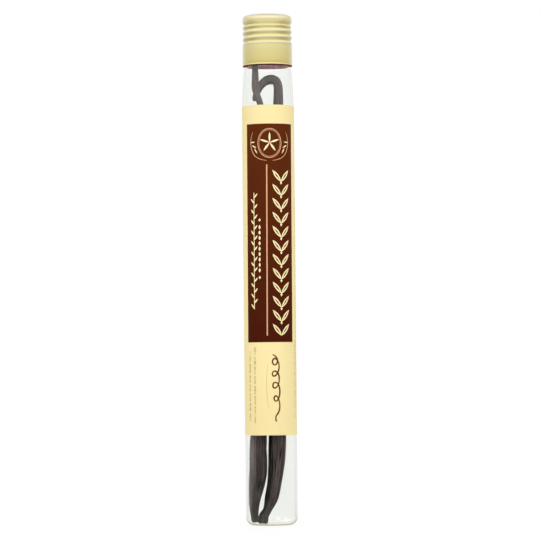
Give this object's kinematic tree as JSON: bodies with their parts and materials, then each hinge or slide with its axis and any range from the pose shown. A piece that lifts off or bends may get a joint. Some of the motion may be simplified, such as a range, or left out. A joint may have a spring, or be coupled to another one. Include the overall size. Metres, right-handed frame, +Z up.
{
  "type": "capped glass tube of vanilla pods",
  "caption": "Slim upright glass tube of whole dried vanilla pods with a ribbed gold metal screw cap and a plain cream and brown wrap label.",
  "frame": {"origin": "centre of the base the tube stands on", "axes": "+Z up along the tube's axis, -Y towards the front of the label, +X to the right of the label"},
  "size_m": [0.0206, 0.0206, 0.2],
  "materials": {
    "clear_glass": "polished",
    "gold_lacquered_aluminium": "satin gold lacquer",
    "cream_paper": "semi-gloss coated paper",
    "vanilla_pod": "oily wrinkled skin"
  },
  "bodies": {
    "root": {"glass_tube": "clear_glass", "screw_cap": "gold_lacquered_aluminium", "label": "cream_paper", "pod_straight": "vanilla_pod", "pod_hooked": "vanilla_pod"}
  },
  "joints": []
}
